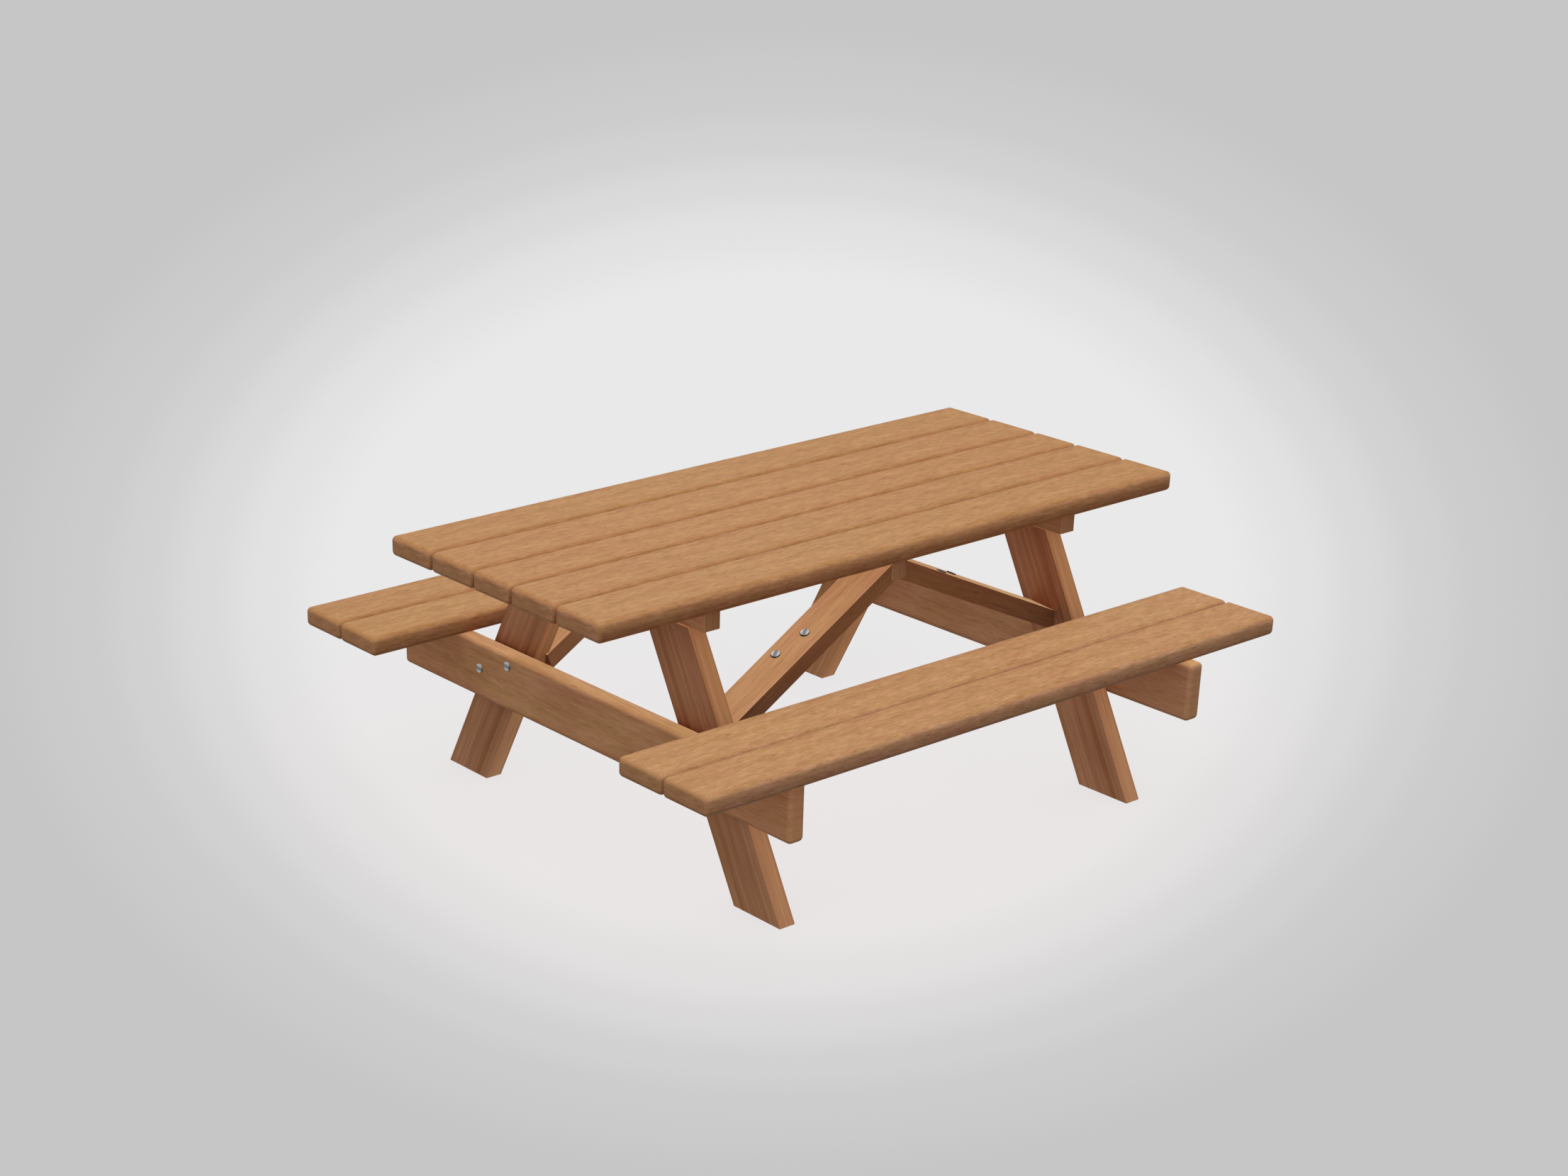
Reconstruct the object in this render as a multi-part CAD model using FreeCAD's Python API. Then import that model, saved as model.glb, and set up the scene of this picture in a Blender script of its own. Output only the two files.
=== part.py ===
import FreeCAD, Part
import math
import os

# A-frame picnic table: five top boards, two benches of two boards each, four raking
# legs, three cleats, two seat beams, four diagonal braces and their fasteners.
# Millimetres.  +X runs along the table (right), -Y is the front, +Z is up.
# Sizes are measured from the centre of the four feet on the ground.  The finished
# parts are shifted so that the origin is the centre of the whole footprint.

V = FreeCAD.Vector

# ------------------------------------------------------------------ timber sizes
FRAME_T = 45.0              # thickness of legs, cleats, beams and braces
ARRIS = 1.0                 # eased edge on legs and cleats
ROUNDING = 12.0             # edge rounding on boards and seat beams
BOARD_GAP = 2.4             # gap between neighbouring boards

# legs, cut level at foot and head
LEG_OUT_X = 588.1           # outer face, from the table centre
LEG_IN_X = LEG_OUT_X - FRAME_T
LEG_FOOT_OUT = 629.9        # outer edge of the foot
LEG_FOOT_IN = 473.0         # inner edge of the foot
LEG_RAKE = 0.53876          # inward travel per unit of height
LEG_TOP = 612.9             # head of the legs, underside of the cleats
LEGS = {                    # side (-1 left, +1 right), end (-1 front, +1 back)
    "leg_front_left": (-1, -1),
    "leg_back_left": (-1, 1),
    "leg_front_right": (1, -1),
    "leg_back_right": (1, 1),
}

# table top
TOP_X = (-894.0, 910.3)
TOP_EDGES_Y = (-372.4, -216.1, -54.7, 85.2, 246.4, 404.6)  # outer edges and gap centres
TOP_Z = 660.2               # underside of the top boards, upper face of the cleats
TOP_T = 47.8

# cleats under the top
CLEAT_HALF_LENGTH = 349.0
CLEATS = {                  # left face x
    "top_cleat_left": -582.0,
    "top_cleat_centre": -17.0,
    "top_cleat_right": 544.7,
}
MID_CLEAT_X = (CLEATS["top_cleat_centre"], CLEATS["top_cleat_centre"] + FRAME_T)

# seat beams on the outer faces of the legs
BEAM_Z = (238.8, 382.6)
BEAMS = {                   # side, y range
    "seat_beam_left": (-1, (-700.6, 751.0)),
    "seat_beam_right": (1, (-751.2, 700.4)),
}

# benches, lying on the beams
SEAT_X = (-893.2, 913.2)
SEAT_Z = BEAM_Z[1]
SEAT_T = 47.2
SEAT_FRONT_Y = (-729.6, -433.1)
SEAT_BACK_Y = (494.8, 791.9)

# from the centre of the feet to the centre of the footprint
SHIFT = V(-(TOP_X[0] + SEAT_X[1]) / 2,
          -(BEAMS["seat_beam_right"][1][0] + SEAT_BACK_Y[1]) / 2,
          0)

# ------------------------------------------------------------------ brace sizes
# top: front corner of the upper face beside the centre cleat
# slope: fall per unit run;  splay: sideways drift per unit run;  cant: roll in radians
# bolts: (distance down the brace, distance across it)
# end_x: x of the square-cut lower end; None gives a plumb cut on the leg's inner face
# top_screws: fractions of the width
# foot_screws: (fraction of the width, height above the underside)
BRACE_OUTER_Y = 348.9       # outer edge of the front left and back right braces
EVEN_TOP = (0.28, 0.72)
EVEN_FOOT = ((0.28, 19.0), (0.72, 19.0))
LEFT_BRACE = dict(side=-1, width=86.5, slope=0.5103, splay=0.0789, cant=0.080,
                  bolts=((266.2, 43.1), (351.0, 60.4)))
RIGHT_BRACE = dict(side=1, width=80.0, slope=0.4523, splay=0.0, cant=0.0737,
                   bolts=((147.9, 18.5), (224.3, 55.5)),
                   end_x=None, top_screws=EVEN_TOP, foot_screws=EVEN_FOOT)
BRACES = {
    "brace_front_left": dict(
        LEFT_BRACE, leg="leg_front_left", top=(-20.4, -BRACE_OUTER_Y, 652.3), end_x=None,
        top_screws=EVEN_TOP, foot_screws=((0.22, 19.0), (0.55, 19.0))),
    "brace_back_left": dict(
        LEFT_BRACE, leg="leg_back_left", top=(-20.4, 304.8, 650.3), end_x=-552.1,
        top_screws=(0.14, 0.38), foot_screws=((0.46, 42.0), (0.83, 19.0))),
    "brace_front_right": dict(
        RIGHT_BRACE, leg="leg_front_right", top=(24.4, -350.9, 654.7)),
    "brace_back_right": dict(
        RIGHT_BRACE, leg="leg_back_right",
        top=(24.4, BRACE_OUTER_Y - RIGHT_BRACE["width"], 654.7)),
}
BRACE_BLANK = 760.0         # blank length below the top corner, before trimming
BRACE_BLANK_BACK = 60.0     # blank length above it
FAR = 900.0                 # reach of the trimming blocks, beyond every brace

# ------------------------------------------------------------------ fastener sizes
# M10 coach bolts
BOLT_D = 10.0
BOLT_HOLE_D = 10.5
BOLT_TIP = 1.0              # chamfer at the thread end
BOLT_HEAD_D = 23.0
BOLT_HEAD_H = 3.2
BOLT_HEAD_ROUNDING = 1.3
NECK = 10.9                 # side of the square neck
NECK_H = 5.0
WASHER_D = 21.0
WASHER_T = 2.0
NUT_AF = 17.0               # across flats
NUT_T = 8.0
NUT_BEVEL = 1.6             # taken off the corner radius at both faces
NUT_BEVEL_REACH = NUT_T * 1.9  # height and spread of the 45 degree bevel cones
THREAD_OUT = 4.0            # thread standing past the nut
NUT_RECESS = 14.5           # counterbore that holds washer, nut and thread end
NUT_RECESS_D = 23.0
BEAM_BOLTS = {              # leg end: (|y|, z) of the bolts through beam and leg
    -1: ((427.7, 316.3), (345.0, 338.0)),
    1: ((427.7, 316.3), (314.5, 354.0)),
}

# countersunk screws up through the cleats
TOP_SCREW = dict(diameter=5.0, length=80.0, head=10.0)
TOP_SCREW_Y = (-338.0, -312.0, -125.0, -75.0, -35.0, 62.0, 100.0, 130.0, 312.0, 338.0)
SCREW_HEAD_LIP = 0.5        # cylindrical rim of a countersunk head

# hexagon screws down into the leg heads
LEG_SCREW_D = 8.0
LEG_SCREW_L = 130.0
LEG_SCREW_AF = 13.0
LEG_SCREW_HEAD_H = 5.5
LEG_SCREW_DEPTH = 7.0       # head seat below the upper face of the cleat
LEG_SCREW_BORE_R = 8.5
LEG_SCREW_Y = (200.0, 262.0)
LEG_SCREWS = {              # side: (cleat, x)
    -1: ("top_cleat_left", -562.5),
    1: ("top_cleat_right", 566.4),
}

# double-pointed screws between beams and seat boards
DOWEL_D = 8.0
DOWEL_HALF = 34.0
DOWEL_Y = {
    "seat_beam_left": (-675.0, -612.0, -555.0, -466.0, 522.0, 611.0, 665.0, 728.0),
    "seat_beam_right": (-705.0, -612.0, -555.0, -466.0, 522.0, 611.0, 655.0, 682.0),
}

# countersunk screws at the brace ends
BRACE_SCREW_D = 6.0
BRACE_SCREW_HEAD = 12.0
BRACE_POCKET_L = 80.0       # head clearance bored behind the screw
TOP_SCREW_RISE = 0.9        # rise per unit run of the upper screws
BRACE_TOP_SCREW_L = 52.0
BRACE_TOP_TIP_IN = 15.0     # tip inside the cleat
BRACE_TOP_TIP_DOWN = 18.0   # tip below the brace's upper face at its top corner
FOOT_HEAD_IN = 13.0         # head depth, level with the screw, from the underside
FOOT_SCREW_BITE = 32.0      # length inside the leg

parts = {}                  # file name: solids
wood = {}                   # timber name: blank
cuts = {}                   # timber name: cutters, in cutting order


def add(name, solid):
    parts.setdefault(name, []).append(solid)


def cut_later(name, *cutters):
    cuts.setdefault(name, []).extend(cutters)


# ------------------------------------------------------------------ shape helpers
def block(x_range, y_range, z_range):
    (x0, x1), (y0, y1), (z0, z1) = x_range, y_range, z_range
    return Part.makeBox(x1 - x0, y1 - y0, z1 - z0, V(x0, y0, z0))


def rounded(shape, radius):
    return shape.makeFillet(radius, shape.Edges)


def largest(shape):
    return max(shape.Solids, key=lambda solid: solid.Volume)


def face(points):
    return Part.Face(Part.makePolygon(points + points[:1]))


def turned(profile):
    """Solid of revolution about Z from (radius, z) points."""
    points = [V(radius, 0, z) for radius, z in profile]
    return face(points).revolve(V(0, 0, 0), V(0, 0, 1), 360)


def cylinder(diameter, length, z=0.0):
    return Part.makeCylinder(diameter / 2, length, V(0, 0, z))


def corner_radius(across_flats):
    return across_flats / 2 / math.cos(math.pi / 6)


def hexagon(across_flats, height, z):
    radius = corner_radius(across_flats)
    angles = [math.radians(60 * i) for i in range(6)]
    points = [V(radius * math.cos(angle), radius * math.sin(angle), z) for angle in angles]
    return face(points).extrude(V(0, 0, height))


def placed(shape, origin, x_axis, y_axis, z_axis):
    """Copy of a shape drawn in a local frame, put at origin with the given unit axes."""
    matrix = FreeCAD.Matrix(x_axis.x, y_axis.x, z_axis.x, origin.x,
                            x_axis.y, y_axis.y, z_axis.y, origin.y,
                            x_axis.z, y_axis.z, z_axis.z, origin.z,
                            0, 0, 0, 1)
    result = shape.copy()
    result.Placement = FreeCAD.Placement(matrix)
    return result


def frame_along(origin, direction, up=V(0, 0, 1)):
    """Right-handed frame (origin and axes) whose z axis is the direction."""
    z_axis = V(direction)
    z_axis.normalize()
    x_axis = up.cross(z_axis)
    x_axis.normalize()
    return origin, x_axis, z_axis.cross(x_axis), z_axis


# ------------------------------------------------------------------ fastener shapes
# All are drawn with the head seated on z = 0 and the shank along +z.
def bolt_neck():
    return Part.makeBox(NECK, NECK, NECK_H, V(-NECK / 2, -NECK / 2, 0))


def coach_bolt(length):
    head = cylinder(BOLT_HEAD_D, BOLT_HEAD_H, -BOLT_HEAD_H)
    rim = [edge for edge in head.Edges
           if edge.Closed and abs(edge.BoundBox.ZMax + BOLT_HEAD_H) < 1e-6]
    head = head.makeFillet(BOLT_HEAD_ROUNDING, rim)
    shank = cylinder(BOLT_D, length - BOLT_TIP)
    tip = Part.makeCone(BOLT_D / 2, BOLT_D / 2 - BOLT_TIP, BOLT_TIP, V(0, 0, length - BOLT_TIP))
    return head.fuse([bolt_neck(), shank, tip]).removeSplitter().Solids[0]


def bolt_bore(grip):
    """Clearance hole running 20 mm past both ends, with the square neck pocket."""
    return cylinder(BOLT_HOLE_D, grip + 40.0, -20.0).fuse(bolt_neck())


def washer(z):
    return cylinder(WASHER_D, WASHER_T, z).cut(cylinder(BOLT_D, WASHER_T + 2, z - 1))


def nut(z):
    """Hexagon nut with its corners bevelled by a cone from each face."""
    small = corner_radius(NUT_AF) - NUT_BEVEL
    large = small + NUT_BEVEL_REACH
    lower = Part.makeCone(small, large, NUT_BEVEL_REACH, V(0, 0, z))
    upper = Part.makeCone(large, small, NUT_BEVEL_REACH, V(0, 0, z + NUT_T - NUT_BEVEL_REACH))
    body = hexagon(NUT_AF, NUT_T, z).common(lower).common(upper)
    return body.cut(cylinder(BOLT_D, NUT_T + 2, z - 1))


def countersunk_screw(diameter, length, head):
    radius, head_radius = diameter / 2, head / 2
    cone_end = SCREW_HEAD_LIP + head_radius - radius
    return turned([(0, 0), (head_radius, 0), (head_radius, SCREW_HEAD_LIP), (radius, cone_end),
                   (radius, length - diameter), (0, length)])


def hex_screw():
    radius = LEG_SCREW_D / 2
    head = hexagon(LEG_SCREW_AF, LEG_SCREW_HEAD_H, -LEG_SCREW_HEAD_H)
    shank = turned([(0, 0), (radius, 0), (radius, LEG_SCREW_L - 2.5 * radius), (0, LEG_SCREW_L)])
    return head.fuse(shank).removeSplitter().Solids[0]


def double_pointed_screw():
    """Headless screw pointed at both ends, centred on z = 0."""
    radius, shoulder = DOWEL_D / 2, DOWEL_HALF - DOWEL_D
    return turned([(0, -DOWEL_HALF), (radius, -shoulder), (radius, shoulder), (0, DOWEL_HALF)])


# ------------------------------------------------------------------ timber blanks
def make_boards(names, edges, x_range, z, thickness):
    """Row of boards between the y edges; returns each board's (name, low y, high y)."""
    spans = list(zip(names, edges[:-1], edges[1:]))
    for i, (name, low, high) in enumerate(spans):
        if i > 0:
            low += BOARD_GAP / 2
        if i < len(spans) - 1:
            high -= BOARD_GAP / 2
        wood[name] = rounded(block(x_range, (low, high), (z, z + thickness)), ROUNDING)
    return spans


def make_bench(names, y_range):
    low, high = y_range
    return make_boards(names, (low, (low + high) / 2, high), SEAT_X, SEAT_Z, SEAT_T)


def board_at(spans, y):
    return next(name for name, low, high in spans if low < y < high)


def leg_blank(side, end):
    travel = LEG_RAKE * LEG_TOP
    x = LEG_IN_X if side > 0 else -LEG_OUT_X
    outline = [V(x, end * LEG_FOOT_OUT, 0),
               V(x, end * LEG_FOOT_IN, 0),
               V(x, end * (LEG_FOOT_IN - travel), LEG_TOP),
               V(x, end * (LEG_FOOT_OUT - travel), LEG_TOP)]
    return rounded(face(outline).extrude(V(FRAME_T, 0, 0)), ARRIS)


def brace_axes(brace):
    """Unit axes: down the brace, across it towards +Y, and out of its upper face."""
    side = brace["side"]
    down = V(side, side * brace["splay"], -brace["slope"])
    down.normalize()
    rightward = down * side
    level = V(-rightward.y, rightward.x, 0)
    level.normalize()
    normal = rightward.cross(level)
    cosine, sine = math.cos(brace["cant"]), math.sin(brace["cant"])
    return down, level * cosine + normal * sine, normal * cosine - level * sine


def brace_blank(brace):
    side = brace["side"]
    top = V(*brace["top"])
    down, across, normal = brace_axes(brace)
    start = -BRACE_BLANK_BACK if side > 0 else -BRACE_BLANK
    body = Part.makeBox(BRACE_BLANK + BRACE_BLANK_BACK, brace["width"], FRAME_T,
                        V(start, 0, -FRAME_T))
    # local x points to the right on both sides, which keeps the frame right-handed
    body = placed(body, top, down * side, across, normal)
    # upper end: notched round the centre cleat and trimmed level under the top
    body = body.cut(block(MID_CLEAT_X, (-CLEAT_HALF_LENGTH - 20, CLEAT_HALF_LENGTH + 120),
                          (LEG_TOP, TOP_Z + 40)))
    body = body.cut(block((-FAR, FAR), (-FAR, FAR), (TOP_Z, FAR)))
    if brace["end_x"] is None:
        # plumb cut, seated on the inner face of the leg
        leg_face = side * LEG_IN_X
        body = body.cut(block(sorted((leg_face, leg_face + side * 400)), (-FAR, FAR), (0, FAR)))
    else:
        # square cut just past the leg's inner face, notched round the leg
        end = top + down * ((brace["end_x"] - top.x) / down.x)
        beyond = Part.makeBox(600, 800, 800, V(0, -400, -400))
        body = body.cut(placed(beyond, end, down, across * side, normal))
        body = body.cut(wood[brace["leg"]])
    return largest(body)


top_spans = make_boards(["top_board_%d" % i for i in range(1, 6)], TOP_EDGES_Y,
                        TOP_X, TOP_Z, TOP_T)
seat_spans = make_bench(("seat_board_front_outer", "seat_board_front_inner"), SEAT_FRONT_Y)
seat_spans += make_bench(("seat_board_back_inner", "seat_board_back_outer"), SEAT_BACK_Y)

for name, (side, end) in LEGS.items():
    wood[name] = leg_blank(side, end)

for name, x in CLEATS.items():
    wood[name] = rounded(block((x, x + FRAME_T), (-CLEAT_HALF_LENGTH, CLEAT_HALF_LENGTH),
                               (LEG_TOP, TOP_Z)), ARRIS)

for name, (side, y_range) in BEAMS.items():
    x_range = sorted((side * LEG_OUT_X, side * (LEG_OUT_X + FRAME_T)))
    wood[name] = rounded(block(x_range, y_range, BEAM_Z), ROUNDING)

for name, brace in BRACES.items():
    wood[name] = brace_blank(brace)


# ------------------------------------------------------------------ fasteners
def fit_coach_bolt(group, frame, thickness, timbers):
    """Bolt, washer and nut through the timbers; the nut is sunk in the last one."""
    grip = thickness - NUT_RECESS
    recess = cylinder(NUT_RECESS_D, NUT_RECESS + 5.0, grip)
    cut_later(timbers[-1], placed(recess, *frame))
    for name in timbers:
        cut_later(name, placed(bolt_bore(grip), *frame))
    length = grip + WASHER_T + NUT_T + THREAD_OUT
    add(group + "s", placed(coach_bolt(length), *frame))
    add(group + "_washers", placed(washer(grip), *frame))
    add(group + "_nuts", placed(nut(grip + WASHER_T), *frame))


def fit_beam_bolts():
    """Heads outside on the seat beam, nuts on the inner face of the leg."""
    for leg, (side, end) in LEGS.items():
        beam = "seat_beam_left" if side < 0 else "seat_beam_right"
        for y, z in BEAM_BOLTS[end]:
            head = V(side * (LEG_OUT_X + FRAME_T), end * y, z)
            frame = frame_along(head, V(-side, 0, 0))
            fit_coach_bolt("beam_bolt", frame, 2 * FRAME_T, [beam, leg])


def fit_brace_bolts():
    """Heads on the upper face of the brace."""
    for name, brace in BRACES.items():
        down, across, normal = brace_axes(brace)
        inward = normal * -1
        for distance, offset in brace["bolts"]:
            head = V(*brace["top"]) + down * distance + across * offset
            frame = (head, down, inward.cross(down), inward)
            fit_coach_bolt("brace_bolt", frame, FRAME_T, [name])


def fit_top_screws():
    """Up through the cleats into the top boards."""
    for cleat, x in CLEATS.items():
        for y in TOP_SCREW_Y:
            screw = countersunk_screw(**TOP_SCREW)
            screw.translate(V(x + FRAME_T / 2, y, LEG_TOP))
            add("top_board_screws", screw)
            cut_later(cleat, screw)
            cut_later(board_at(top_spans, y), screw)


def fit_leg_screws():
    """Down through the end cleats into the leg heads, counterbored."""
    for leg, (side, end) in LEGS.items():
        cleat, x = LEG_SCREWS[side]
        for y in LEG_SCREW_Y:
            seat = V(x, end * y, TOP_Z - LEG_SCREW_DEPTH)
            frame = (seat, V(1, 0, 0), V(0, -1, 0), V(0, 0, -1))
            screw = placed(hex_screw(), *frame)
            add("leg_head_screws", screw)
            cut_later(cleat, screw, placed(cylinder(2 * LEG_SCREW_BORE_R, 20.0, -20.0), *frame))
            cut_later(leg, screw)


def fit_seat_dowels():
    """Upright, half in the seat beam and half in the seat board."""
    for beam, (side, _) in BEAMS.items():
        for y in DOWEL_Y[beam]:
            screw = double_pointed_screw()
            screw.translate(V(side * (LEG_OUT_X + FRAME_T / 2), y, SEAT_Z))
            add("seat_dowel_screws", screw)
            cut_later(beam, screw)
            cut_later(board_at(seat_spans, y), screw)


def fit_brace_screw(group, frame, length, brace_name, anchor):
    """Screw through a brace into the anchor timber, with a head pocket behind it."""
    screw = placed(countersunk_screw(BRACE_SCREW_D, length, BRACE_SCREW_HEAD), *frame)
    pocket = placed(cylinder(BRACE_SCREW_HEAD, BRACE_POCKET_L, -BRACE_POCKET_L), *frame)
    add(group, screw)
    cut_later(brace_name, screw, pocket)
    cut_later(anchor, screw)


def fit_brace_end_screws():
    """From the underside: slanting up into the centre cleat, level into the leg."""
    for name, brace in BRACES.items():
        side, slope, width = brace["side"], brace["slope"], brace["width"]
        top = V(*brace["top"])
        down, across, _ = brace_axes(brace)

        cleat_face = MID_CLEAT_X[1] if side > 0 else MID_CLEAT_X[0]
        direction = V(-side, 0, TOP_SCREW_RISE)
        direction.normalize()
        for fraction in brace["top_screws"]:
            edge = top + across * (width * fraction)
            tip = V(cleat_face - side * BRACE_TOP_TIP_IN, edge.y, edge.z - BRACE_TOP_TIP_DOWN)
            frame = frame_along(tip - direction * BRACE_TOP_SCREW_L, direction, up=V(0, 1, 0))
            fit_brace_screw("brace_top_screws", frame, BRACE_TOP_SCREW_L,
                            name, "top_cleat_centre")

        leg_face = side * LEG_IN_X
        corner = top + down * ((leg_face - top.x) / down.x)
        plumb_depth = FRAME_T * math.sqrt(1 + slope * slope)
        for fraction, rise in brace["foot_screws"]:
            foot = corner + across * (width * fraction)
            run = rise / slope - FOOT_HEAD_IN
            head = V(leg_face - side * run, foot.y, foot.z - plumb_depth + rise)
            fit_brace_screw("brace_foot_screws", frame_along(head, V(side, 0, 0)),
                            run + FOOT_SCREW_BITE, name, brace["leg"])


fit_beam_bolts()
fit_brace_bolts()
fit_top_screws()
fit_leg_screws()
fit_seat_dowels()
fit_brace_end_screws()

# ------------------------------------------------------------------ bore the timber
for name, shape in wood.items():
    for cutter in cuts[name]:
        shape = shape.cut(cutter)
    add(name, largest(shape))

# ------------------------------------------------------------------ write
os.makedirs("parts", exist_ok=True)
for name, solids in parts.items():
    piece = solids[0] if len(solids) == 1 else Part.makeCompound(solids)
    piece.translate(SHIFT)
    piece.exportStep("parts/%s.step" % name)
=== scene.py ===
import bpy, math
from mathutils import Vector, Matrix


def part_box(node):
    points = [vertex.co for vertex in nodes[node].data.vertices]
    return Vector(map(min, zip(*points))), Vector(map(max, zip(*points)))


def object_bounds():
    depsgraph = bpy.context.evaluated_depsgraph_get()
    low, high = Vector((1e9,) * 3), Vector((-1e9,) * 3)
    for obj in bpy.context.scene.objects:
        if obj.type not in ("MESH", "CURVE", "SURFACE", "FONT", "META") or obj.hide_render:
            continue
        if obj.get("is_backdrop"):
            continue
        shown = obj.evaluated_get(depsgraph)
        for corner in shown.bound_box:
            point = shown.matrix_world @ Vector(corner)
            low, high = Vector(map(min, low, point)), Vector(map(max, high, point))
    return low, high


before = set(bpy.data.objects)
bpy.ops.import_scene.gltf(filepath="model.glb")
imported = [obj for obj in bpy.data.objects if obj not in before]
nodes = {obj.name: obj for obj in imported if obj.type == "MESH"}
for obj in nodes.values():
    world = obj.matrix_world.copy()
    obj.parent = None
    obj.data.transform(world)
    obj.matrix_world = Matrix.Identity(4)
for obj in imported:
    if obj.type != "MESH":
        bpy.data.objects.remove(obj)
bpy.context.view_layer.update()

scene = bpy.context.scene
scene.view_settings.view_transform = "Standard"
scene.view_settings.look = "None"

# ------------------------------------------------------------------ camera
W, H = 2212.0, 1659.0
F_PX, PPX, PPY = 3841.0, 865.13, 1345.96
AZ, EL = math.radians(38.443), math.radians(26.472)
CAM = Vector((-4.25682, -4.66618, 2.63908))

cam_data = bpy.data.cameras.new("cam")
cam = bpy.data.objects.new("cam", cam_data)
scene.collection.objects.link(cam)
scene.camera = cam
cam_data.sensor_fit = "HORIZONTAL"
cam_data.sensor_width = 36.0
cam_data.lens = F_PX / W * 36.0
cam_data.clip_start, cam_data.clip_end = 0.05, 200.0
fwd = Vector((math.sin(AZ) * math.cos(EL), math.cos(AZ) * math.cos(EL), -math.sin(EL)))
cam.location = CAM
cam.rotation_mode = "QUATERNION"
cam.rotation_quaternion = fwd.to_track_quat("-Z", "Y")


def shift_driver(channel, value):
    """The lens shift belongs to the main viewpoint only, so it drops to zero when the camera is moved elsewhere."""
    d = cam_data.driver_add(channel).driver
    d.type = "SCRIPTED"
    for name, kind in (("x", "LOC_X"), ("y", "LOC_Y")):
        v = d.variables.new()
        v.name = name
        v.type = "TRANSFORMS"
        v.targets[0].id = cam
        v.targets[0].transform_type = kind
        v.targets[0].transform_space = "WORLD_SPACE"
    d.expression = "%.6f if abs(x - (%.5f)) < 0.01 and abs(y - (%.5f)) < 0.01 else 0.0" % (value, CAM.x, CAM.y)


shift_driver("shift_x", (W / 2 - PPX) / W)
shift_driver("shift_y", (PPY - H / 2) / W)

# ------------------------------------------------------------------ node helpers
class Tree:
    """Small helper for writing node trees."""

    def __init__(self, tree):
        self.t = tree

    def new(self, kind, **props):
        n = self.t.nodes.new(kind)
        for k, v in props.items():
            setattr(n, k, v)
        return n

    def put(self, value, socket):
        if hasattr(value, "is_output"):
            self.t.links.new(value, socket)
        elif value is not None:
            socket.default_value = value

    def math(self, op, a, b=None, c=None, clamp=False):
        n = self.new("ShaderNodeMath", operation=op, use_clamp=clamp)
        for i, v in enumerate((a, b, c)):
            self.put(v, n.inputs[i])
        return n.outputs[0]

    def vec(self, op, a, b=None):
        n = self.new("ShaderNodeVectorMath", operation=op)
        self.put(a, n.inputs[0])
        self.put(b, n.inputs[1])
        return n.outputs["Value"] if op in ("DOT_PRODUCT", "LENGTH", "DISTANCE") else n.outputs[0]

    def xyz(self, x, y, z):
        n = self.new("ShaderNodeCombineXYZ")
        for i, v in enumerate((x, y, z)):
            self.put(v, n.inputs[i])
        return n.outputs[0]

    def noise(self, vector, detail=2.0, rough=0.5, distort=0.0):
        n = self.new("ShaderNodeTexNoise")
        self.put(vector, n.inputs["Vector"])
        n.inputs["Scale"].default_value = 1.0
        n.inputs["Detail"].default_value = detail
        n.inputs["Roughness"].default_value = rough
        n.inputs["Distortion"].default_value = distort
        return n.outputs[0]

    def ramp(self, value, lo, hi, a=0.0, b=1.0):
        n = self.new("ShaderNodeMapRange", interpolation_type="SMOOTHSTEP")
        for s, v in zip(("Value", "From Min", "From Max", "To Min", "To Max"), (value, lo, hi, a, b)):
            self.put(v, n.inputs[s])
        return n.outputs[0]

    def mix(self, fac, a, b, mode="MIX"):
        n = self.new("ShaderNodeMix", data_type="RGBA", blend_type=mode)
        self.put(fac, n.inputs[0])
        self.put(a, n.inputs[6])
        self.put(b, n.inputs[7])
        return n.outputs[2]

    def blend(self, fac, a, b):
        n = self.new("ShaderNodeMix", data_type="FLOAT")
        self.put(fac, n.inputs[0])
        self.put(a, n.inputs[2])
        self.put(b, n.inputs[3])
        return n.outputs[0]


def rgb(r, g, b):
    return (r, g, b, 1.0)


# ------------------------------------------------------------------ wood
def profile(t, value, lo, hi, stops):
    """Smooth curve through a few stops, each a place and a level between 0 and 2."""
    r = t.new("ShaderNodeValToRGB")
    r.color_ramp.interpolation = "B_SPLINE"
    el = r.color_ramp.elements
    el[0].position, el[1].position = 0.0, 1.0
    for e, (pos, level) in zip((el[0], el[1]), (stops[0], stops[-1])):
        e.color = rgb(level / 2, level / 2, level / 2)
    for pos, level in stops[1:-1]:
        el.new((pos - lo) / (hi - lo)).color = rgb(level / 2, level / 2, level / 2)
    t.put(t.math("DIVIDE", t.math("SUBTRACT", value, lo), hi - lo, clamp=True), r.inputs[0])
    return t.math("MULTIPLY", r.outputs[0], 2.0)


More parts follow.
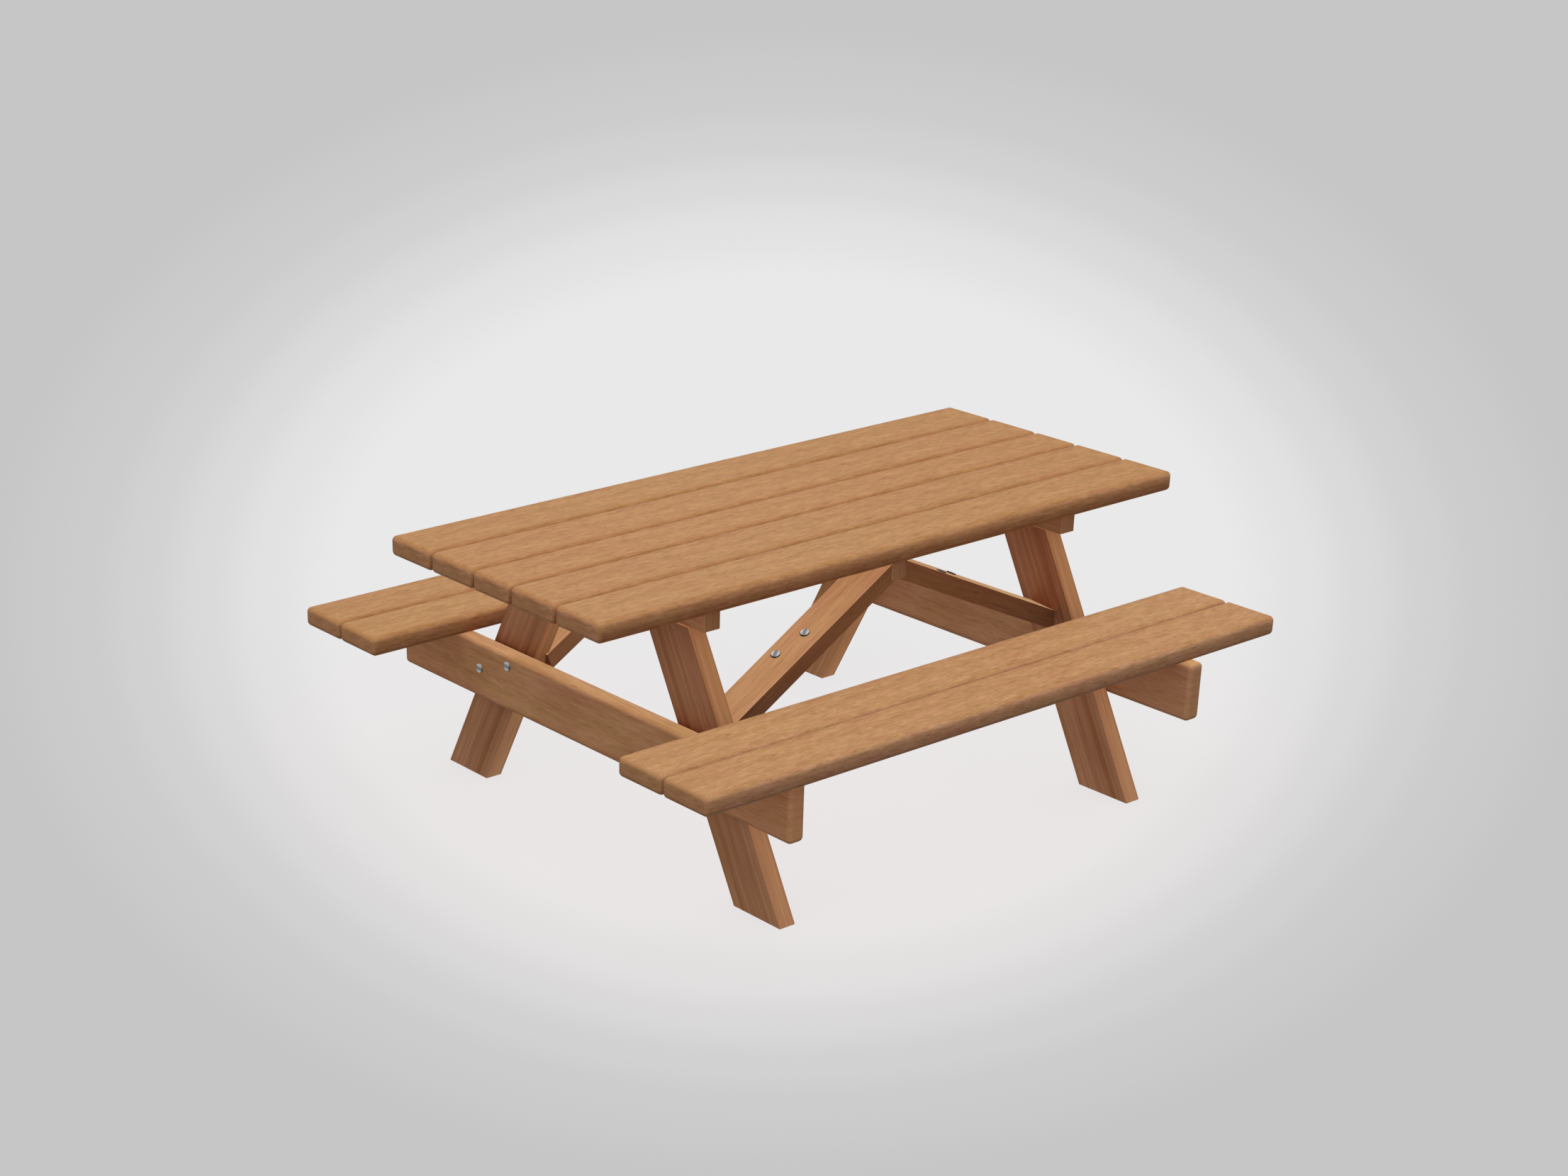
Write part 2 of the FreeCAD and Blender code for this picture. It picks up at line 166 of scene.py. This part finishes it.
BOARD_BANDS = ((-0.080, 0.96), (-0.060, 0.965), (-0.039, 1.03), (-0.027, 1.01), (-0.012, 1.035), (0.0, 1.0), (0.009, 0.955),
               (0.022, 0.99), (0.038, 1.03), (0.050, 1.0), (0.062, 0.97), (0.080, 0.96))
LEG_BANDS = ((-0.072, 1.03), (-0.045, 1.10), (-0.025, 1.05), (-0.008, 1.00), (0.004, 1.04), (0.018, 1.00), (0.028, 0.92), (0.037, 0.82),
             (0.045, 0.91), (0.055, 1.03), (0.072, 1.00))
STYLES = {
    # patch, streak and fibre: scale along and across the grain per metre, strength; pores: strength and threshold
    "board": dict(patch=(18, 68, 0.52), hue=(9.0, 50), streak=(24.0, 160, 0.68), fibre=(60, 460, 0.42), pore=(30, 270, 0.50, 0.640), bands=BOARD_BANDS),
    "beam": dict(patch=(8.0, 34, 0.55), hue=(4.0, 26), streak=(6.0, 110, 0.45), fibre=(20, 420, 0.34), pore=(26, 300, 0.42, 0.64), bands=None),
    "brace": dict(patch=(4.5, 45, 0.38), hue=(2.5, 32), streak=(6.0, 135, 0.42), fibre=(18, 460, 0.34), pore=(22, 330, 0.50, 0.640), bands=None),
    "leg": dict(patch=(1.3, 52, 0.75), hue=(1.5, 40), streak=(1.8, 120, 0.75), fibre=(10, 460, 0.34), pore=(20, 380, 0.30, 0.665), bands=None),
}
BASE = (0.520, 0.281, 0.133)


def wood(name, origin, u, v, w, gain=None, style="board", seed=0.0, flip=1.0, bands=None, low=0.0, painted_ao_gain=(1.0, 1.0)):
    """Oiled hardwood. u is the grain direction, v crosses the wide face and w runs through the thickness.
    gain sets the tone of the faces across u, v and w: partly the differing cuts of the same wood, partly painted
    light and shade for each face direction."""
    gain = gain or ((1, 1, 1), (1, 1, 1), (1, 1, 1))
    st = STYLES[style]
    m = bpy.data.materials.new(name)
    m.use_nodes = True
    t = Tree(m.node_tree)
    bsdf = m.node_tree.nodes["Principled BSDF"]
    tc = t.new("ShaderNodeTexCoord")
    geo = t.new("ShaderNodeNewGeometry")
    rel = t.vec("SUBTRACT", tc.outputs["Object"], tuple(origin))
    U, V_, W_ = (t.vec("DOT_PRODUCT", rel, tuple(a)) for a in (u, v, w))
    nu, nv, nw = (t.math("POWER", t.math("ABSOLUTE", t.vec("DOT_PRODUCT", geo.outputs["Normal"], tuple(a))), 2.0) for a in (u, v, w))
    # on an end face the grain shows as lines along the wider side
    end = t.ramp(nu, 0.35, 0.75)
    gu = t.blend(end, U, V_)
    gv = t.blend(end, V_, t.math("ADD", W_, 0.37))
    gw = t.blend(end, W_, t.math("MULTIPLY", U, 0.15))
    if style == "beam":
        # the figure of the wide face runs on round the rounded corner
        gu = t.math("SUBTRACT", U, t.math("MULTIPLY", end, t.math("ADD", W_, 0.0225)))
        gv, gw = V_, t.blend(end, W_, -0.0225)

    def field(su, sv, off, **kw):
        return t.noise(t.xyz(t.math("MULTIPLY_ADD", gu, su, off + seed), t.math("MULTIPLY_ADD", gv, sv, off * 1.7), t.math("MULTIPLY_ADD", gw, sv, off * 2.3)), **kw)

    patch = field(st["patch"][0], st["patch"][1], 3.1, detail=3.0, rough=0.65, distort=0.9 if style == "board" else 0.35)
    hue = field(st["hue"][0], st["hue"][1], 23.7, detail=5.0 if style == "board" else 2.0, rough=0.72 if style == "board" else 0.55, distort=0.3)
    streak = field(st["streak"][0], st["streak"][1], 11.3, detail=4.0, rough=0.65, distort=0.7 if style == "board" else 0.15)
    fibre = field(st["fibre"][0], st["fibre"][1], 5.9, detail=2.0, rough=0.6)
    pore = field(st["pore"][0], st["pore"][1], 17.9, detail=1.0, rough=0.5)
    f = t.math("MULTIPLY_ADD", t.math("SUBTRACT", patch, 0.5), st["patch"][2], 1.0)
    f = t.math("MULTIPLY_ADD", t.math("SUBTRACT", streak, 0.5), st["streak"][2], f)
    f = t.math("MULTIPLY_ADD", t.math("SUBTRACT", fibre, 0.5), st["fibre"][2], f)
    curve = bands or st["bands"]
    if curve:
        wander = t.noise(t.xyz(t.math("MULTIPLY", U, 1.6), t.math("MULTIPLY", V_, 6.0), seed), detail=3.0)
        place = t.math("MULTIPLY_ADD", t.math("SUBTRACT", wander, 0.5), 0.016, t.math("MULTIPLY", V_, flip))
        f = t.math("MULTIPLY", f, t.blend(t.math("MAXIMUM", end, t.math("MULTIPLY", nv, 0.8)), profile(t, place, curve[0][0], curve[-1][0], curve), 1.0))
    # pinker and yellower wood lie side by side
    dh = t.math("SUBTRACT", hue, 0.5)
    f3 = t.xyz(f, t.math("MULTIPLY_ADD", dh, 0.38 if style == "board" else 0.27, t.math("MULTIPLY_ADD", f, 1.35, -0.35)), t.math("MULTIPLY_ADD", dh, -0.16, t.math("MULTIPLY_ADD", f, 1.9, -0.9)))
    col = t.mix(1.0, rgb(*BASE), f3, "MULTIPLY")
    holes = t.math("MULTIPLY", t.ramp(pore, st["pore"][3], st["pore"][3] + 0.09, 0.0, 1.0), t.ramp(hue, 0.38, 0.60, 0.25, 1.0))
    col = t.mix(t.math("MULTIPLY", holes, st["pore"][2]), col, rgb(0.235, 0.095, 0.045))
    # painted light and shade: the gains lighten or darken each face direction on top of the wood's own tone
    tone_and_light = t.vec("MULTIPLY", nu, tuple(gain[0]))
    tone_and_light = t.vec("ADD", tone_and_light, t.vec("MULTIPLY", nv, tuple(gain[1])))
    tone_and_light = t.vec("ADD", tone_and_light, t.vec("MULTIPLY", nw, tuple(gain[2])))
    if low:
        # painted shade: the long faces darken and redden towards their lower arris
        painted_low_shade = t.math("MULTIPLY", t.ramp(W_, 0.0130, -0.0075, 0.0, low), nv)
        tone_and_light = t.vec("MULTIPLY", tone_and_light, t.xyz(t.math("SUBTRACT", 1.0, painted_low_shade), t.math("MULTIPLY_ADD", painted_low_shade, -1.16, 1.0), t.math("MULTIPLY_ADD", painted_low_shade, -1.2, 1.0)))
    col = t.mix(1.0, col, tone_and_light, "MULTIPLY")
    # rubbed edges: a little paler, a little smoother
    bev = t.new("ShaderNodeBevel", samples=4)
    bev.inputs["Radius"].default_value = 0.0022
    dot = t.vec("DOT_PRODUCT", bev.outputs[0], geo.outputs["Normal"])
    edge = t.math("MULTIPLY", t.ramp(dot, 0.995, 0.90, 0.0, 1.0), t.ramp(patch, 0.35, 0.6, 0.35, 1.0))
    col = t.mix(t.math("MULTIPLY", edge, 0.06 if style in ("board", "beam") else 0.22), col, rgb(0.60, 0.34, 0.17))
    # painted shade: ambient occlusion darkens and reddens the colour where two pieces meet, but not down at the feet
    ao = t.new("ShaderNodeAmbientOcclusion", samples=6)
    ao.inputs["Distance"].default_value = 0.20
    sep = t.new("ShaderNodeSeparateXYZ")
    t.put(geo.outputs["Position"], sep.inputs[0])
    painted_ao = t.math("MULTIPLY", t.math("SUBTRACT", 1.0, ao.outputs["AO"]), t.ramp(sep.outputs[2], 0.02, 0.22))
    nz = t.new("ShaderNodeSeparateXYZ")
    t.put(geo.outputs["Normal"], nz.inputs[0])
    painted_ao = t.math("MULTIPLY", painted_ao, t.ramp(nz.outputs[2], 0.1, 0.8, 1.0, 0.15 if style != "board" else 1.0))
    open_ = t.math("SUBTRACT", 1.0, t.math("MULTIPLY", painted_ao, t.math("MULTIPLY_ADD", nv, 0.95 * (painted_ao_gain[1] - painted_ao_gain[0]), 0.95 * painted_ao_gain[0])))
    col = t.mix(1.0, col, t.xyz(t.math("POWER", open_, 0.85), t.math("POWER", open_, 1.15), t.math("POWER", open_, 1.22)), "MULTIPLY")
    t.put(col, bsdf.inputs["Base Color"])
    rough = t.math("MULTIPLY_ADD", fibre, 0.16, 0.52)
    rough = t.math("SUBTRACT", rough, t.math("MULTIPLY", edge, 0.10))
    rough = t.math("ADD", rough, t.math("MULTIPLY", holes, 0.15), clamp=True)
    t.put(rough, bsdf.inputs["Roughness"])
    bsdf.inputs["Specular IOR Level"].default_value = 0.10
    height = t.math("ADD", t.math("MULTIPLY", fibre, 0.5), t.math("MULTIPLY", streak, 0.6))
    height = t.math("SUBTRACT", height, t.math("MULTIPLY", holes, 0.9))
    bump = t.new("ShaderNodeBump")
    bump.inputs["Strength"].default_value = 0.30
    bump.inputs["Distance"].default_value = 0.0005
    t.put(height, bump.inputs["Height"])
    t.put(bump.outputs[0], bsdf.inputs["Normal"])
    return m


# ------------------------------------------------------------------ steel
def steel(name, centres, e1, e2, base=(0.74, 0.78, 0.82), turned=True, level=1.0, phase=0.9, side=0.62, low=0.35):
    """Turned stainless steel heads with a painted reflection, a soft band across each, and painted shade on their
    sides.
    """
    m = bpy.data.materials.new(name)
    m.use_nodes = True
    t = Tree(m.node_tree)
    bsdf = m.node_tree.nodes["Principled BSDF"]
    tc = t.new("ShaderNodeTexCoord")
    P = tc.outputs["Object"]
    near = t.xyz(*centres[0])
    best = t.vec("DISTANCE", P, tuple(centres[0]))
    for c in centres[1:]:
        d = t.vec("DISTANCE", P, tuple(c))
        near = t.mix(t.math("LESS_THAN", d, best), near, t.xyz(*c))
        best = t.math("MINIMUM", d, best)
    rel = t.vec("SUBTRACT", P, near)
    a, b = t.vec("DOT_PRODUCT", rel, tuple(e1)), t.vec("DOT_PRODUCT", rel, tuple(e2))
    ang = t.math("ARCTAN2", b, a)
    rad = t.vec("LENGTH", t.xyz(a, b, 0.0))
    # painted reflection: a dark band between two bright flanks, such as a crowned face would mirror, painted into
    # the colour
    off = t.math("ABSOLUTE", t.math("ADD", t.math("MULTIPLY", a, math.cos(phase)), t.math("MULTIPLY", b, math.sin(phase))))
    painted_reflection = t.ramp(off, 0.0005, 0.0100)
    rings = t.noise(t.xyz(t.math("MULTIPLY", rad, 2600.0), t.math("MULTIPLY", ang, 0.6), 0.0), detail=2.0)
    shade = t.math("MULTIPLY_ADD", painted_reflection, 1.0 - low if turned else 0.2, low if turned else 0.7)
    shade = t.math("MULTIPLY", shade, t.math("MULTIPLY_ADD", rings, 0.25, 0.87))
    # painted shade: past the flat face, the side of each head is darkened to the side level
    rim = t.ramp(rad, 0.0100, 0.0112, 1.0, side)
    shade = t.math("MULTIPLY", t.math("MULTIPLY", shade, rim), level)
    blot = t.noise(t.vec("MULTIPLY", P, (90.0, 90.0, 90.0)), detail=3.0)
    col = t.mix(1.0, rgb(*base), t.xyz(shade, shade, shade), "MULTIPLY")
    col = t.mix(t.ramp(blot, 0.55, 0.75, 0.0, 0.18), col, rgb(0.30, 0.26, 0.22))
    t.put(col, bsdf.inputs["Base Color"])
    bsdf.inputs["Metallic"].default_value = 0.25 if turned else 0.8
    t.put(t.math("MULTIPLY_ADD", rings, 0.2, 0.30), bsdf.inputs["Roughness"])
    bump = t.new("ShaderNodeBump")
    bump.inputs["Strength"].default_value = 0.25
    bump.inputs["Distance"].default_value = 0.0002
    t.put(rings, bump.inputs["Height"])
    t.put(bump.outputs[0], bsdf.inputs["Normal"])
    return m


def islands(ob):
    """Bounds and points of the separate solids in a mesh, in the row frame, from which their centres are found."""
    me = ob.data
    parent = list(range(len(me.vertices)))

    def find(i):
        while parent[i] != i:
            parent[i] = parent[parent[i]]
            i = parent[i]
        return i

    seen = {}
    for v in me.vertices:
        k = tuple(round(c, 5) for c in v.co)
        if k in seen:
            parent[find(v.index)] = find(seen[k])
        else:
            seen[k] = v.index
    for e in me.edges:
        a, b = find(e.vertices[0]), find(e.vertices[1])
        if a != b:
            parent[a] = b
    groups = {}
    for v in me.vertices:
        groups.setdefault(find(v.index), []).append(ob.matrix_world @ v.co)
    out = []
    for pts in groups.values():
        lo = [min(p[i] for p in pts) for i in range(3)]
        hi = [max(p[i] for p in pts) for i in range(3)]
        out.append((lo, hi, pts))
    out.sort(key=lambda q: (round(q[0][0], 3), round(q[0][1], 3), round(q[0][2], 3)))
    return out


def ob_of(n):
    o = nodes[n]
    return bpy.data.objects[o] if isinstance(o, str) else o


def dress(n, m):
    o = ob_of(n)
    o.data.materials.clear()
    o.data.materials.append(m)
    for p in o.data.polygons:
        p.material_index = 0


X, Y, Z = Vector((1, 0, 0)), Vector((0, 1, 0)), Vector((0, 0, 1))


def centre(n):
    lo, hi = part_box(n)
    return (Vector(lo) + Vector(hi)) / 2


ONE = (1.0, 1.0, 1.0)
# tone of the end faces, the long edges and the wide faces of each piece: the wood's own tone together with painted
# light and shade on each face
FACE_TONE_AND_LIGHT = {
    "brace_back_left": ((0.932, 0.790, 0.775), (0.932, 0.790, 0.775), (1.188, 1.230, 1.167)),
    "brace_back_right": ((0.653, 0.557, 0.555), (0.653, 0.557, 0.555), (1.439, 1.660, 1.689)),
    "brace_front_left": ((0.604, 0.495, 0.487), (0.604, 0.495, 0.487), (1.143, 1.128, 1.115)),
    "brace_front_right": ((0.535, 0.414, 0.388), (0.535, 0.414, 0.388), (1.439, 1.660, 1.689)),
    "leg_back_left": ((1.735, 1.622, 1.618), (1.735, 1.622, 1.618), (0.916, 0.786, 0.821)),
    "leg_back_right": ((1.857, 1.602, 1.476), (1.857, 1.602, 1.476), (1.089, 0.955, 0.910)),
    "leg_front_left": ((0.900, 0.789, 0.757), (0.900, 0.789, 0.757), (0.934, 0.806, 0.848)),
    "leg_front_right": ((0.927, 0.820, 0.803), (0.927, 0.820, 0.803), (0.988, 0.856, 0.932)),
    "seat_beam_left": ((1.016, 0.877, 0.888), (1.225, 1.246, 1.166), (1.125, 1.024, 1.033)),
    "seat_beam_right": ((0.892, 0.809, 0.866), (1.364, 1.440, 1.341), (1.116, 1.030, 1.110)),
    "seat_board_back_inner": ((0.937, 0.824, 0.792), (0.990, 0.949, 0.898), (1.000, 0.940, 0.748)),
    "seat_board_back_outer": ((0.937, 0.826, 0.817), (0.967, 0.893, 0.863), (0.977, 0.884, 0.719)),
    "seat_board_front_inner": ((0.908, 0.825, 0.790), (1.064, 1.059, 1.175), (1.075, 1.049, 0.979)),
    "seat_board_front_outer": ((0.907, 0.809, 0.815), (1.040, 1.011, 1.127), (1.050, 1.001, 0.939)),
    "top_board_1": ((0.952, 0.838, 0.863), (0.978, 0.922, 0.901), (0.988, 0.913, 0.751)),
    "top_board_2": ((0.936, 0.819, 0.812), (0.966, 0.894, 0.883), (0.976, 0.885, 0.736)),
    "top_board_3": ((0.951, 0.838, 0.837), (0.967, 0.880, 0.848), (0.977, 0.871, 0.707)),
    "top_board_4": ((0.936, 0.858, 0.837), (0.966, 0.880, 0.848), (0.976, 0.871, 0.707)),
    "top_board_5": ((0.952, 0.858, 0.863), (0.955, 0.880, 0.815), (0.965, 0.871, 0.679)),
    "top_cleat_centre": ((0.672, 0.649, 0.682), (1.244, 1.229, 1.332), (1.244, 1.229, 1.332)),
    "top_cleat_left": ((0.662, 0.654, 0.614), (1.178, 1.104, 1.199), (1.178, 1.104, 1.199)),
    "top_cleat_right": ((0.700, 0.657, 0.644), (0.880, 0.830, 0.985), (0.880, 0.830, 0.985)),
}


def face_tone_and_light(n):
    return FACE_TONE_AND_LIGHT.get(n, (ONE, ONE, ONE))


for i in range(1, 6):
    n = "top_board_%d" % i
    dress(n, wood("wood_" + n, centre(n), X, Y, Z, gain=face_tone_and_light(n), low=0.42, painted_ao_gain=(0.4, 0.3)))
for i, n in enumerate(("seat_board_front_outer", "seat_board_front_inner", "seat_board_back_inner", "seat_board_back_outer")):
    dress(n, wood("wood_" + n, centre(n), X, Y, Z, gain=face_tone_and_light(n), seed=4.0, low=0.31, painted_ao_gain=(0.4, 0.3)))
rake = math.atan(0.53876)
for n in ("leg_front_left", "leg_back_left", "leg_front_right", "leg_back_right"):
    sy = 1.0 if "front" in n else -1.0
    side = sy if "left" in n else -sy
    u = Vector((0, sy * math.sin(rake), math.cos(rake)))
    v = Vector((0, math.cos(rake), -sy * math.sin(rake)))
    dress(n, wood("wood_" + n, centre(n), u, v, X, gain=face_tone_and_light(n), style="leg", seed=1.0, flip=side, bands=LEG_BANDS, painted_ao_gain=(1.0, 0.4)))
for n in ("seat_beam_left", "seat_beam_right"):
    dress(n, wood("wood_" + n, centre(n), Y, Z, X, gain=face_tone_and_light(n), style="beam", seed=2.0, painted_ao_gain=(0.6, 0.4)))
for n in ("top_cleat_left", "top_cleat_centre", "top_cleat_right"):
    dress(n, wood("wood_" + n, centre(n), Y, Z, X, gain=face_tone_and_light(n), style="leg", seed=3.0, painted_ao_gain=(0.5, 0.5)))
BRACE = {
    "brace_front_left": (-1, 0.5103, 0.0789, 0.080),
    "brace_back_left": (-1, 0.5103, 0.0789, 0.080),
    "brace_front_right": (1, 0.4523, 0.0, 0.0737),
    "brace_back_right": (1, 0.4523, 0.0, 0.0737),
}
BRACE_AXES = {}
for n, (sx, slope, splay, cant) in BRACE.items():
    d = Vector((1, splay, -sx * slope)).normalized()
    a = Vector((-d.y, d.x, 0)).normalized()
    up = d.cross(a)
    v = a * math.cos(cant) + up * math.sin(cant)
    w = up * math.cos(cant) - a * math.sin(cant)
    BRACE_AXES[n] = (d, v, w)
    dress(n, wood("wood_" + n, centre(n), d, v, w, gain=face_tone_and_light(n), style="brace", seed=5.0 if sx < 0 else 6.0, painted_ao_gain=(0.35, 0.5)))

beam_heads = []
for lo, hi, pts in islands(ob_of("beam_bolts")):
    x = lo[0] if lo[0] + hi[0] < 0 else hi[0]
    beam_heads.append((x, (lo[1] + hi[1]) / 2, (lo[2] + hi[2]) / 2))
dress("beam_bolts", steel("steel_beam_bolts", beam_heads, Y, Z, phase=math.radians(94), side=0.38, low=0.30, level=1.45))
brace_heads = []
for lo, hi, pts in islands(ob_of("brace_bolts")):
    w = BRACE_AXES["brace_front_left" if lo[0] + hi[0] < 0 else "brace_front_right"][2]
    far = max(p.dot(w) for p in pts)
    rim = [p for p in pts if p.dot(w) > far - 0.0042]
    lo, hi = ([f(p[i] for p in rim) for i in range(3)] for f in (min, max))
    brace_heads.append(tuple((p + q) / 2 for p, q in zip(lo, hi)))
dress("brace_bolts", steel("steel_brace_bolts", brace_heads, X * 1.12, Y, level=1.28, phase=math.radians(-64), side=0.03, low=0.32))
for n in ("beam_bolt_washers", "beam_bolt_nuts", "brace_bolt_washers", "brace_bolt_nuts", "top_board_screws", "leg_head_screws",
          "seat_dowel_screws", "brace_top_screws", "brace_foot_screws"):
    dress(n, steel("steel_" + n, [tuple(centre(n))], X, Y, base=(0.55, 0.55, 0.54), turned=False))

# ------------------------------------------------------------------ floor, backdrop and light
RING = ((0.0, 233), (0.60, 233), (0.707, 226), (0.787, 218), (0.867, 210), (0.947, 204), (1.10, 198))


def lin(c):
    c = c / 255.0
    return c / 12.92 if c <= 0.04045 else ((c + 0.055) / 1.055) ** 2.4


def halo(t):
    """Pale backdrop, lightest round the middle of the picture."""
    tc = t.new("ShaderNodeTexCoord")
    sep = t.new("ShaderNodeSeparateXYZ")
    t.put(tc.outputs["Window"], sep.inputs[0])
    dx = t.math("MULTIPLY", t.math("SUBTRACT", sep.outputs[0], 0.5), W / 1040.0)
    dy = t.math("MULTIPLY", t.math("SUBTRACT", sep.outputs[1], 1 - 850.0 / H), H / 750.0)
    rho = t.vec("LENGTH", t.xyz(dx, dy, 0.0))
    r = t.new("ShaderNodeValToRGB")
    r.color_ramp.interpolation = "EASE"
    el = r.color_ramp.elements
    el[0].position, el[0].color = 0.0, rgb(*[lin(233)] * 3)
    el[1].position, el[1].color = 1.0, rgb(*[lin(198)] * 3)
    for pos, val in RING[1:-1]:
        e = el.new(pos / 1.10)
        e.color = rgb(*[lin(val)] * 3)
    t.put(t.math("DIVIDE", rho, 1.10), r.inputs[0])
    warm = t.math("MULTIPLY", t.ramp(sep.outputs[1], 0.55, 0.28), t.ramp(rho, 1.0, 0.5))
    return t.mix(warm, r.outputs[0], t.mix(1.0, r.outputs[0], rgb(1.012, 0.968, 0.970), "MULTIPLY"))


bpy.ops.mesh.primitive_plane_add(size=160, location=(0, 0, -0.0006))
floor = bpy.context.object
floor.name = "floor"
floor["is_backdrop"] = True
m = bpy.data.materials.new("floor")
m.use_nodes = True
m.node_tree.nodes.clear()
t = Tree(m.node_tree)
# painted shadow: ambient occlusion faintly darkens the glowing floor round the object
ao = t.new("ShaderNodeAmbientOcclusion", samples=12)
ao.inputs["Distance"].default_value = 0.45
shade = t.ramp(ao.outputs["AO"], 0.0, 1.0, 0.93, 1.0)
col = t.mix(1.0, halo(t), t.xyz(shade, shade, shade), "MULTIPLY")
lp = t.new("ShaderNodeLightPath")
em = t.new("ShaderNodeEmission")
t.put(t.mix(lp.outputs["Is Camera Ray"], rgb(0.30, 0.29, 0.28), col), em.inputs[0])
out = t.new("ShaderNodeOutputMaterial")
t.put(em.outputs[0], out.inputs[0])
floor.data.materials.append(m)

world = bpy.data.worlds.new("studio")
scene.world = world
world.use_nodes = True
world.node_tree.nodes.clear()
t = Tree(world.node_tree)
lp = t.new("ShaderNodeLightPath")
bg = t.new("ShaderNodeBackground")
t.put(t.mix(lp.outputs["Is Camera Ray"], rgb(0.32, 0.32, 0.32), halo(t)), bg.inputs[0])
out = t.new("ShaderNodeOutputWorld")
t.put(bg.outputs[0], out.inputs[0])


def sun(name, direction, strength, color=(1, 1, 1), angle=20.0):
    """Broad soft light from the given side. It casts no shadow of its own."""
    d = bpy.data.lights.new(name, "SUN")
    d.energy = strength * math.pi
    d.angle = math.radians(angle)
    d.color = color
    d.use_shadow = False
    if hasattr(d, "cycles") and hasattr(d.cycles, "cast_shadow"):
        d.cycles.cast_shadow = False
    o = bpy.data.objects.new(name, d)
    scene.collection.objects.link(o)
    o.rotation_mode = "QUATERNION"
    o.rotation_quaternion = Vector(direction).to_track_quat("Z", "Y")
    return o


sun("key", (-0.20, -0.25, 0.947), 0.65)
sun("fill", (0.6, 0.8, 0.15), 0.10)

lo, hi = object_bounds()
